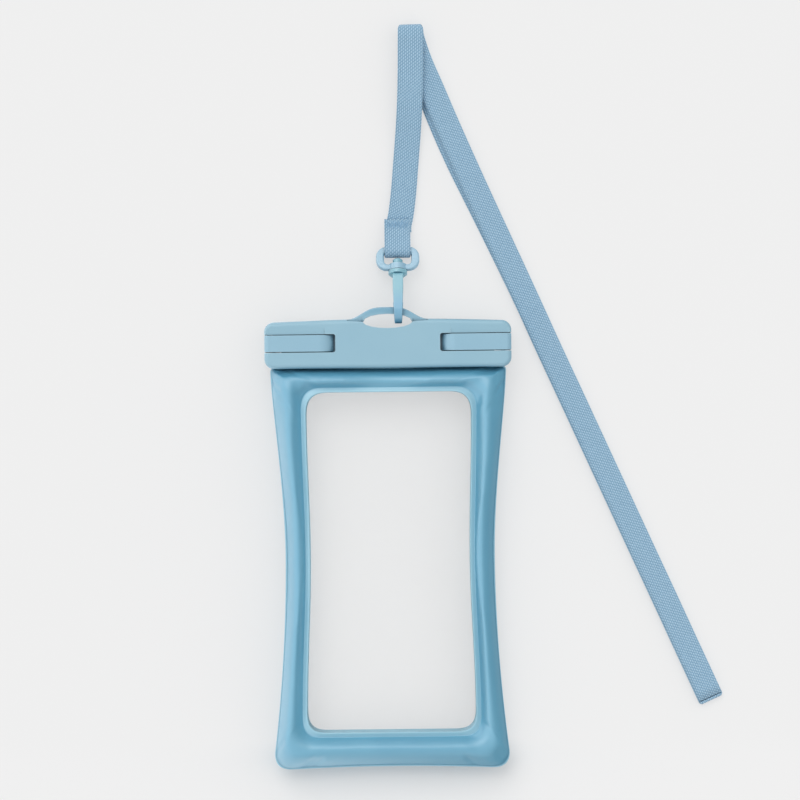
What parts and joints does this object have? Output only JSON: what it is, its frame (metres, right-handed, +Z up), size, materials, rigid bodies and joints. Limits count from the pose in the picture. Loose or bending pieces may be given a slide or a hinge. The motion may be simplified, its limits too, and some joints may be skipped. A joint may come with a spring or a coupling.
{
  "type": "waterproof pouch",
  "caption": "Floating waterproof pouch: an inflated frame round two clear windows, a snap clamp that seals the mouth, and a swivel hook on a flat neck strap.",
  "frame": {"origin": "bottom centre of the pouch as it lies on its back, without the strap, ring and hook", "axes": "+Z up out of the front window, +Y along the pouch to the clamp and the strap, +X to the right"},
  "size_m": [0.1964, 0.3201, 0.02],
  "materials": {
    "air_film": "satin welded film",
    "clear_film": "clear gloss film",
    "jaw_plastic": "fine matt moulding",
    "latch_plastic": "fine matt moulding",
    "seal_silicone": "matt",
    "pin_steel": "drawn",
    "hook_plastic": "satin moulding",
    "webbing": "flat woven"
  },
  "bodies": {
    "root": {"air_frame_front": "air_film", "air_frame_back": "air_film", "window_front": "clear_film", "window_back": "clear_film", "jaw_front": "jaw_plastic", "jaw_back": "jaw_plastic", "seal_front": "seal_silicone", "seal_back": "seal_silicone", "latch_pin_right": "pin_steel", "latch_pin_left": "pin_steel", "hook_body": "hook_plastic", "strap_strand_inner": "webbing", "strap_strand_outer": "webbing"},
    "latch_right": {"latch_right": "latch_plastic"},
    "latch_left": {"latch_left": "latch_plastic"},
    "gate": {"hook_gate": "hook_plastic"},
    "swivel": {"swivel_ring": "hook_plastic", "strap_loop": "webbing"}
  },
  "joints": [
    {"name": "latch_right_hinge", "type": "hinge", "parent": "root", "child": "latch_right", "pos_m": [0.0496, 0.08395, 0.0064], "axis": [0, 1, 0], "range_deg": [0, 105]},
    {"name": "latch_left_hinge", "type": "hinge", "parent": "root", "child": "latch_left", "pos_m": [-0.0496, 0.08395, 0.0064], "axis": [0, -1, 0], "range_deg": [0, 105]},
    {"name": "gate_hinge", "type": "hinge", "parent": "root", "child": "gate", "pos_m": [0.00465, 0.10911, 0.00439], "axis": [-1, 0, 0], "range_deg": [0, 20], "stiffness_Nm_per_rad": 0.01, "springref_deg": -20.05},
    {"name": "ring_swivel", "type": "hinge", "parent": "root", "child": "swivel", "pos_m": [0.00465, 0.1152, 0.0063], "axis": [0, 0.9511, -0.309], "continuous": true}
  ]
}
